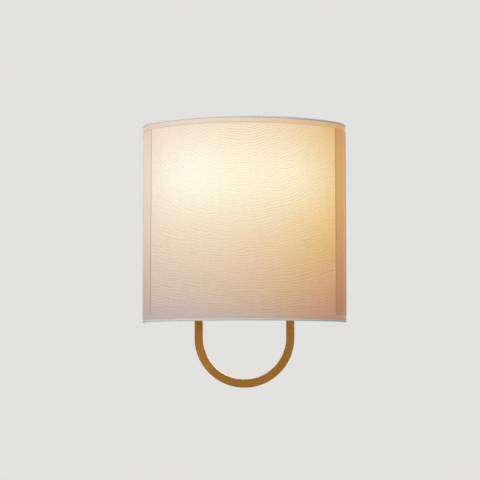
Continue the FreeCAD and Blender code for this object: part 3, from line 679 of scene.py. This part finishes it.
def seamWelt(side):
    # a corded ridge where the front and side panels are sewn together
    middle = endLength if side == "left" else outlineLength - endLength
    around, rows = seam["around"], seam["rows"]
    points = []
    for j in range(rows):
        height = -ribHalf + 2 * ribHalf * j / (rows - 1)
        pull = 1 - seam["pull"] * max(0.0, math.cos(2 * math.pi * height / seam["stitch"])) ** 3
        pull *= 1 + seam["uneven"] * wander(height * 300, middle, 0.5)
        for i in range(around):
            turn = math.pi * i / (around - 1)
            rise = shade["glue"] + seam["radius"] * pull * math.sin(turn)
            x, y = onOutline(middle + seam["radius"] * math.cos(turn), rise)
            points.append((x, y, height))
    faces = gridFaces(around, rows, loop=True)
    faces += [list(range(around)), list(range((rows - 1) * around, rows * around))]
    piece = makePiece(side + "SeamWelt", points, faces, "shade", [side + "_seam_welt"])
    clothMap(piece, around, lambda i: 0.5 * mm * i, lambda j: 2 * ribHalf * j / (rows - 1))
    sharpen(piece, 60)
    return piece


for side, share in seam["through"].items():
    seamCloth = tapeFinish(side + "SeamCloth", share, seam["tint"], seam["colour"], seam["dark"], 1.0)
    dress(seamWelt(side), seamCloth)
print("seams sewn")

# inside of the shade
paint("shade_liner", moulded("linerSheet", (0.78, 0.74, 0.66), 0.55, 0.02, Specular_IOR_Level=0.3))
whiteCoat = moulded("whiteCoat", (0.80, 0.79, 0.76), 0.35, 0.02)
for nodeName in ("top_ring", "bottom_ring", "back_uprights", "seam_uprights", "carrier_strap"):
    paint(nodeName, whiteCoat)

# metals and mouldings
loopLow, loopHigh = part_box("arm_loop")
loop = {
    "centreZ": loopLow.z + loopHigh.x,
    "radius": 57.25 * mm,
    # painted highlight: the band across the bar where it is blended in, and its colour
    "innerEdgeHighlight": {"From Min": 53.2 * mm, "From Max": 52.5 * mm, "To Min": 0.0, "To Max": 0.75},
    "innerEdgeHighlightColour": (0.66, 0.37, 0.11),
}


def alongLoop(made):
    # place measured across the bar, through it and along it, so the brush marks follow the bend
    parts = made.parts(made.place())
    height = made.math("SUBTRACT", parts["Z"], loop["centreZ"])
    below = made.math("MAXIMUM", made.math("MULTIPLY", height, -1.0), 0.0)
    aside = made.math("ABSOLUTE", parts["X"])
    squares = made.math("ADD", made.math("MULTIPLY", aside, aside), made.math("MULTIPLY", below, below))
    out = made.math("SQRT", squares)
    turn = made.math("MULTIPLY", made.math("ARCTAN2", below, aside), loop["radius"])
    length = made.math("SUBTRACT", made.math("MAXIMUM", height, 0.0), turn)
    return made.node("CombineXYZ", {0: out, 1: parts["Y"], 2: length}).outputs[0]


brushing = {"grain": (1, 1, 0.04), "grainScale": 1700.0, "edgeWearAndHighlight": 0.6, "along": alongLoop, "grainDepth": 0.007}
satinBrass = metal("satinBrass", (0.49, 0.265, 0.080), (0.42, 0.215, 0.058), 0.27, **brushing)
for nodeName in ("backplate", "cap_nuts"):
    paint(nodeName, satinBrass)

# painted highlight: a paler brass colour blended in along the loop's inner edge
# the loop's brass is a darker copy of the satin brass: painted darkness of the dark surroundings it reflects
loopBrass = metal("loopBrass", (0.45, 0.205, 0.042), (0.37, 0.162, 0.030), 0.27, **brushing)
across = loopBrass.parts(alongLoop(loopBrass))["X"]
innerEdgeHighlight = loopBrass.node("MapRange", {"Value": across, **loop["innerEdgeHighlight"]}, interpolation_type="SMOOTHSTEP")
brushed = loopBrass.shader.inputs["Base Color"].links[0].from_socket
loopBrass.set("Base Color", loopBrass.blend(innerEdgeHighlight.outputs[0], brushed, loop["innerEdgeHighlightColour"]))
paint("arm_loop", loopBrass)

shellBrass = metal("shellBrass", (0.72, 0.50, 0.20), (0.62, 0.42, 0.16), 0.30)
zincSteel = metal("zincSteel", (0.56, 0.57, 0.58), (0.48, 0.50, 0.52), 0.34, grainScale=420.0, edgeWearAndHighlight=0.3)
for nodeName in ("wall_crossbar", "lamp_bracket", "holder_washers", "holder_nuts"):
    paint(nodeName, zincSteel)
paint("ground_screw", moulded("greenScrew", (0.03, 0.22, 0.07), 0.35, 0.12, Metallic=0.6))
holderPlastic = moulded("holderPlastic", (0.74, 0.70, 0.61), 0.42)
for side in ("left", "right"):
    paint(side + "_screw_shell", shellBrass)
    paint(side + "_centre_contact", shellBrass)
    paint(side + "_lampholder", holderPlastic)
paint("wire_bushing", moulded("nylon", (0.035, 0.035, 0.037), 0.45, 0.10))
print("metals and mouldings finished")

# threads, screws and nuts
screwThread = {"pitch": 0.7 * mm, "depth": 0.32 * mm, "rowsPerTurn": 7, "chamfer": 0.4 * mm}


def threadRows(low, high, radius, thread):
    # the length of a thread as profile rows, and the ripple that cuts its helix
    pitch = thread["pitch"]
    count = max(4, round((high - low) / pitch * thread["rowsPerTurn"]))
    rows = [(low + (high - low) * i / count, radius) for i in range(count + 1)]

    def helix(angle, height, r):
        if not low - 1e-9 <= height <= high + 1e-9 or r < radius * 0.98:
            return 0.0
        ends = fade(min(height - low, high - height), 0, pitch)
        turn = (height / pitch - angle / (2 * math.pi)) % 1
        return -thread["depth"] * ends * (1 - abs(2 * turn - 1))

    return rows, helix


def stud(name, x, z, yFront, yBack, radius, body):
    chamfer = screwThread["chamfer"]
    length = yBack - yFront
    rows, helix = threadRows(chamfer, length - chamfer, radius, screwThread)
    profile = [(0, 0), (0, radius - chamfer), *rows, (length, radius - chamfer), (length, 0)]
    return lathe(name, profile, (x, yFront, z), (0, 1, 0), body, segments=28, ripple=helix)


def group(name, made, body, standsFor, finish):
    # several pieces as one
    bm = bmesh.new()
    for piece in made:
        bm.from_mesh(piece.data)
    mesh = bpy.data.meshes.new(name)
    bm.to_mesh(mesh)
    bm.free()
    for piece in made:
        bpy.data.objects.remove(piece)
    piece = addObject(name, mesh)
    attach(piece, body)
    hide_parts(*standsFor)
    dress(piece, finish)


studLow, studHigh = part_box("mounting_studs")
studRadius = studHigh.x
mountingStuds = [
    stud("stud", 0, z, studLow.y, studHigh.y, studRadius, "fixture")
    for z in (studLow.z + studRadius, studHigh.z - studRadius)
]
group("mountingStuds", mountingStuds, "fixture", ["mounting_studs"], zincSteel)

post = {"collar": 4.5 * mm, "collarLength": 4.0 * mm, "rivet": 3.2 * mm, "rivetHeight": 0.8 * mm, "chamfer": 0.3 * mm}
postLow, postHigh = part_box("shade_posts")
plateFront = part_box("backplate")[0].y
postZ = (postLow.z + postHigh.z) / 2
postX = postHigh.x - post["collar"]
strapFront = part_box("carrier_strap")[0].y


def shadePost(x):
    # thread for the nut, collar that the strap rests against, and the end riveted over behind the plate
    end = postLow.y
    chamfer = screwThread["chamfer"]
    rows, helix = threadRows(chamfer, strapFront - end, studRadius, screwThread)
    edge, collar, rivet = post["chamfer"], post["collar"], post["rivet"]
    plate = plateFront - end
    collarFront = plateFront - post["collarLength"] - end
    rivetBack = postHigh.y - end
    rivetFront = rivetBack - post["rivetHeight"]
    profile = [
        (0, 0), (0, studRadius - chamfer), *rows,
        (collarFront, studRadius), (collarFront, collar - edge), (collarFront + edge, collar),
        (plate, collar), (plate, studRadius), (rivetFront, studRadius),
        (rivetFront, rivet), (rivetBack - edge, rivet * 0.92), (rivetBack, rivet * 0.6), (rivetBack, 0),
    ]
    return lathe("post", profile, (x, end, postZ), (0, 1, 0), "fixture", segments=48, ripple=helix)


shadePosts = [shadePost(-postX), shadePost(postX)]
group("shadePosts", shadePosts, "fixture", ["shade_posts"], zincSteel)

thumb = {
    "teeth": 40,
    "toothDepth": 0.35 * mm,
    "bore": 2.05 * mm,
    "step": 2.0 * mm,             # from the knurled head in to the neck
    "front": 0.6 * mm,            # bare end in front of the head
    "foot": 1.6 * mm,             # neck behind it, against the strap
}


def thumbNut(side):
    low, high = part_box(side + "_thumb_nut")
    head = (high.z - low.z) / 2
    centre = ((low.x + high.x) / 2, low.y, (low.z + high.z) / 2)
    length = high.y - low.y
    neck = head - thumb["step"]
    bore, front, back = thumb["bore"], thumb["front"], length - thumb["foot"]

    def knurl(angle, height, radius):
        if radius < head - 0.1 * mm:
            return 0.0
        return -thumb["toothDepth"] * abs((angle * thumb["teeth"] / (2 * math.pi)) % 1 * 2 - 1)

    profile = [
        (0, bore), (0, neck - 1.0 * mm), (front, neck - 0.6 * mm), (front, head - 0.7 * mm),
        (front + 0.5 * mm, head), (back - 0.5 * mm, head), (back, head - 0.7 * mm), (back, neck),
        (length, neck), (length, bore), (0, bore),
    ]
    nut = lathe(
        side + "ThumbNut", profile, centre, (0, 1, 0), side + "_nut", [side + "_thumb_nut"],
        segments=thumb["teeth"] * 4, ripple=knurl,
    )
    dress(nut, satinBrass)


for side in ("left", "right"):
    thumbNut(side)

screwHead = {
    "radius": 3.6 * mm,
    "height": 2.4 * mm,
    "dome": 0.28,                 # drop of the dome at its edge, as a share of the radius
    "cross": 1.9 * mm,
    "crossWidth": 0.42 * mm,
    "crossDepth": 1.3 * mm,
    "underHead": 0.3 * mm,        # plain shank before the thread
}


def crossCutter(height):
    # two bars across each other, set into the top of the head
    cutter = addObject("cross", bpy.data.meshes.new("cross"))
    size = (screwHead["cross"] * 2, screwHead["crossWidth"] * 2, screwHead["crossDepth"] * 2)
    bm = bmesh.new()
    for quarter in range(2):
        arm = Matrix.Rotation(quarter * math.pi / 2, 4, "Z") @ Matrix.Diagonal((*size, 1))
        lift = Matrix.Translation((0, 0, height + quarter * 0.02 * mm))
        bmesh.ops.create_cube(bm, size=1.0, matrix=lift @ arm)
    bm.to_mesh(cutter.data)
    bm.free()
    return cutter


def crossScrew(name, seat, axis, length):
    # pan head, threaded shank and a cross recess cut into the head
    radius, height, chamfer = screwHead["radius"], screwHead["height"], screwThread["chamfer"]
    rows, helix = threadRows(-length + chamfer, -screwHead["underHead"], studRadius, screwThread)
    dome = [(height - radius * screwHead["dome"] * (t / 6) ** 2.4, radius * t / 6) for t in range(6, 0, -1)]
    profile = [(-length, 0), (-length, studRadius - chamfer), *rows, (0, studRadius), (0, radius), *dome, (height, 0)]
    head = lathe(name, profile, seat, axis, "fixture", segments=48, ripple=helix)
    cutter = crossCutter(height)
    cutter.data.transform(Matrix.Translation(Vector(seat)) @ turnFor(axis).to_4x4())
    cut = head.modifiers.new("cross", "BOOLEAN")
    cut.object, cut.operation, cut.solver, cut.use_self = cutter, "DIFFERENCE", "EXACT", True
    bpy.context.view_layer.update()
    evaluated = head.evaluated_get(bpy.context.evaluated_depsgraph_get())
    shaped = bpy.data.meshes.new_from_object(evaluated)
    head.modifiers.clear()
    head.data = shaped
    bpy.data.objects.remove(cutter)
    return head


low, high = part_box("bracket_screws")
seatY = low.y + screwHead["height"]
bracketScrews = [
    crossScrew("screw", (x, seatY, low.z + screwHead["radius"]), (0, -1, 0), high.y - seatY)
    for x in (low.x + screwHead["radius"], high.x - screwHead["radius"])
]
group("bracketScrews", bracketScrews, "fixture", ["bracket_screws"], zincSteel)

low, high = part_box("arm_screws")
armScrewLength = 7.0 * mm
armScrews = [
    crossScrew("screw", (sign * (high.x - armScrewLength), (low.y + high.y) / 2, z), (-sign, 0, 0), armScrewLength)
    for sign in (-1, 1) for z in (low.z + screwHead["radius"], high.z - screwHead["radius"])
]
group("armScrews", armScrews, "fixture", ["arm_screws"], zincSteel)

nipple = {
    "radius": 4.85 * mm,
    "bore": 3.3 * mm,
    "chamfer": 0.5 * mm,
    "pitch": 0.94 * mm,
    "depth": 0.45 * mm,
    "rowsPerTurn": 7,
}
low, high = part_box("holder_nipples")


def threadedNipple(x):
    length, radius, bore, chamfer = high.z - low.z, nipple["radius"], nipple["bore"], nipple["chamfer"]
    rows, helix = threadRows(chamfer, length - chamfer, radius, nipple)
    profile = [
        (0, bore), (0, radius - chamfer), *rows, (length, radius - chamfer), (length, bore), (0, bore),
    ]
    centre = (x, (low.y + high.y) / 2, low.z)
    return lathe("nipple", profile, centre, (0, 0, 1), "fixture", segments=48, ripple=helix)


nippleX = high.x - nipple["radius"]
holderNipples = [threadedNipple(-nippleX), threadedNipple(nippleX)]
group("holderNipples", holderNipples, "fixture", ["holder_nipples"], zincSteel)
print("screws, studs and nuts cut")

# candle lamps
lampCap = {
    "thread": 5.95 * mm,
    "pitch": 2.54 * mm,
    "depth": 0.75 * mm,
    "rowsPerTurn": 14,            # enough that the groove is rounded, as it is rolled in thin metal
    "collar": 7.4 * mm,
    "collarHeight": 2.9 * mm,
    "wall": 0.4 * mm,
}
lampNickel = metal("lampNickel", (0.64, 0.61, 0.56), (0.55, 0.52, 0.47), 0.22, grainScale=260.0)


def screwCap(side):
    low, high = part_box(side + "_lamp_cap")
    centre = ((low.x + high.x) / 2, (low.y + high.y) / 2, low.z)
    height = high.z - low.z
    body, collar = lampCap["thread"], lampCap["collar"]
    inside = collar - lampCap["wall"]
    collarFoot = height - lampCap["collarHeight"]
    rows, helix = threadRows(1.2 * mm, collarFoot - 1.6 * mm, body, lampCap)
    profile = [
        (0, body - 1.2 * mm), (0, body - 0.6 * mm), *rows,
        (collarFoot - 0.3 * mm, collar - 0.2 * mm), (collarFoot, collar),
        (height - 0.5 * mm, collar), (height - 0.1 * mm, collar - 0.12 * mm), (height, inside),
        (collarFoot, inside),
    ]
    piece = lathe(
        side + "LampCap", profile, centre, (0, 0, 1), side + "_lamp", [side + "_lamp_cap"],
        ripple=helix, crease=50,
    )
    dress(piece, lampNickel)


def makeClearGlass():
    made = Finish("clearGlass", Roughness=0.02, IOR=1.46, Transmission_Weight=1.0)
    streak = made.noise(made.place(), 55.0, 2.0)
    made.set("Base Color", made.blend(streak, (0.97, 0.96, 0.93), (0.93, 0.92, 0.88)))
    made.bump(streak, 0.05 * mm, 0.4)
    # lamplight passes the glass without a hard shadow
    made.seeThrough(made.node("LightPath").outputs["Is Shadow Ray"])
    return made


def makeFilamentGlow():
    made = Finish("filamentGlow", Roughness=0.5)
    coil = made.noise(made.stretched(made.place(), (1, 1, 0.6)), 900.0, 2.0)
    made.set("Base Color", made.blend(coil, (0.90, 0.50, 0.10), (0.98, 0.68, 0.22)))
    made.set("Emission Color", made.blend(coil, (1.0, 0.56, 0.18), (1.0, 0.74, 0.36)))
    made.shader.inputs["Emission Strength"].default_value = 3.0
    return made


lampFinishes = {
    "glass": makeClearGlass(),
    "stem": moulded("stemGlass", (0.86, 0.89, 0.90), 0.12, 0.03, Transmission_Weight=0.6, IOR=1.5),
    "filaments": makeFilamentGlow(),
    "tip": metal("solder", (0.50, 0.50, 0.49), (0.42, 0.42, 0.42), 0.40, grainScale=500.0),
    "insulator": moulded("blackInsulator", (0.02, 0.02, 0.022), 0.18, 0.10),
}
for side in ("left", "right"):
    screwCap(side)
    for part, finish in lampFinishes.items():
        paint(side + "_lamp_" + part, finish)
print("lamps fitted")

# floor, background and lights
studio = {
    "background": (0.76, 0.755, 0.74),
    "fillStrength": 0.20,
    "fillColour": (1.0, 0.97, 0.92),
    "floorZ": -0.60,
    "floorFade": (1.3, 3.2),
    "floorLift": 0.30,            # floor's own paleness, as the camera sees it; its shadow stays
    "aim": (0, -0.05, 0),
    "keyAngle": (-30, 40),        # degrees to the left of the front, and up
    "keyDistance": 1.9,
    "keySize": 1.1,
    "keyPower": 24.0,
    "keyColour": (0.85, 0.95, 1.0),
    "lampPower": 0.26,
    "lampColour": (1.0, 0.76, 0.50),
    "lampSize": 11 * mm,
    "backPlace": (0.75, 1.75, 0.95),
    "backPower": 22.0,
    "backColour": (1.0, 0.985, 0.96),
}


def makeFloor():
    floor = bpy.data.meshes.new("floor")
    start, end = studio["floorFade"]
    reach, z = end + 0.2, studio["floorZ"]
    corners = [(-reach, -reach, z), (reach, -reach, z), (reach, reach, z), (-reach, reach, z)]
    floor.from_pydata(corners, [], [(0, 1, 2, 3)])
    piece = addObject("floor", floor)
    made = Finish("paleFloor", Roughness=0.9)
    made.shader.inputs["Base Color"].default_value = (*[min(1, c * 1.02) for c in studio["background"]], 1)
    away = made.vector("LENGTH", made.vector("MULTIPLY", made.place(), (1, 1, 0)))
    gone = made.ramp(away, start, end, interpolation_type="SMOOTHSTEP")
    rays = made.node("LightPath").outputs
    seen = made.math("MAXIMUM", rays["Is Camera Ray"], rays["Is Glossy Ray"])
    seen = made.math("MAXIMUM", seen, rays["Is Transmission Ray"])
    made.set("Emission Strength", made.math("MULTIPLY", seen, studio["floorLift"]))
    made.shader.inputs["Emission Color"].default_value = (*studio["background"], 1)
    below = made.node("NewGeometry").outputs["Backfacing"]     # seen from below, the floor isn't in the way
    made.seeThrough(made.math("MAXIMUM", gone, below))
    dress(piece, made)


def makeWorld():
    # even fill light; what looks past the object sees the pale background
    world = bpy.data.worlds.new("studio")
    bpy.context.scene.world = world
    world.use_nodes = True
    tree = world.node_tree
    tree.nodes.clear()
    fill = tree.nodes.new("ShaderNodeBackground")
    fill.inputs[0].default_value = (*studio["fillColour"], 1)
    fill.inputs[1].default_value = studio["fillStrength"]
    pale = tree.nodes.new("ShaderNodeBackground")
    pale.inputs[0].default_value = (*studio["background"], 1)
    rays = tree.nodes.new("ShaderNodeLightPath")
    seen = rays.outputs["Is Camera Ray"]
    for kind in ("Is Glossy Ray", "Is Transmission Ray"):
        either = tree.nodes.new("ShaderNodeMath")
        either.operation = "MAXIMUM"
        tree.links.new(seen, either.inputs[0])
        tree.links.new(rays.outputs[kind], either.inputs[1])
        seen = either.outputs[0]
    mix = tree.nodes.new("ShaderNodeMixShader")
    output = tree.nodes.new("ShaderNodeOutputWorld")
    tree.links.new(seen, mix.inputs[0])
    tree.links.new(fill.outputs[0], mix.inputs[1])
    tree.links.new(pale.outputs[0], mix.inputs[2])
    tree.links.new(mix.outputs[0], output.inputs[0])


def addLight(name, kind, place, colour, power, size):
    data = bpy.data.lights.new(name, kind)
    data.color = colour
    data.energy = power
    light = addObject(name, data)
    light.location = place
    if kind == "AREA":
        data.shape = "DISK"
        data.size = size
        light.rotation_euler = (Vector(studio["aim"]) - Vector(place)).to_track_quat("-Z", "Y").to_euler()
    else:
        data.shadow_soft_size = size


makeFloor()
makeWorld()
azimuth, elevation = (math.radians(a) for a in studio["keyAngle"])
reach = studio["keyDistance"]
keyPlace = (
    reach * math.sin(azimuth) * math.cos(elevation),
    -reach * math.cos(azimuth) * math.cos(elevation),
    reach * math.sin(elevation),
)
addLight("key", "AREA", keyPlace, studio["keyColour"], studio["keyPower"], studio["keySize"])
addLight("back", "AREA", studio["backPlace"], studio["backColour"], studio["backPower"], studio["keySize"])
lampX, lampY, lampZ = glow["lamp"]
for side in (-1, 1):
    place = (side * lampX, lampY, lampZ)
    addLight("lamplight", "POINT", place, studio["lampColour"], studio["lampPower"], studio["lampSize"])

# camera, low and a little to the right, as in the photograph
photo = {
    "place": (73.4 * mm, -2048.5 * mm, -181.3 * mm),
    "yaw": 0.0386,
    "pitch": 0.0789,
    "lens": 122.46,
    "sensor": 36.0,
}
cameraData = bpy.data.cameras.new("camera")
cameraData.lens = photo["lens"]
cameraData.sensor_width = photo["sensor"]
camera = addObject("camera", cameraData)
camera.location = photo["place"]
ahead = Vector((
    -math.sin(photo["yaw"]) * math.cos(photo["pitch"]),
    math.cos(photo["yaw"]) * math.cos(photo["pitch"]),
    math.sin(photo["pitch"]),
))
camera.rotation_mode = "QUATERNION"
camera.rotation_quaternion = ahead.to_track_quat("-Z", "Y")
bpy.context.scene.camera = camera
bpy.context.scene.view_settings.view_transform = "Standard"
print("lights and camera set")

bpy.context.view_layer.update()
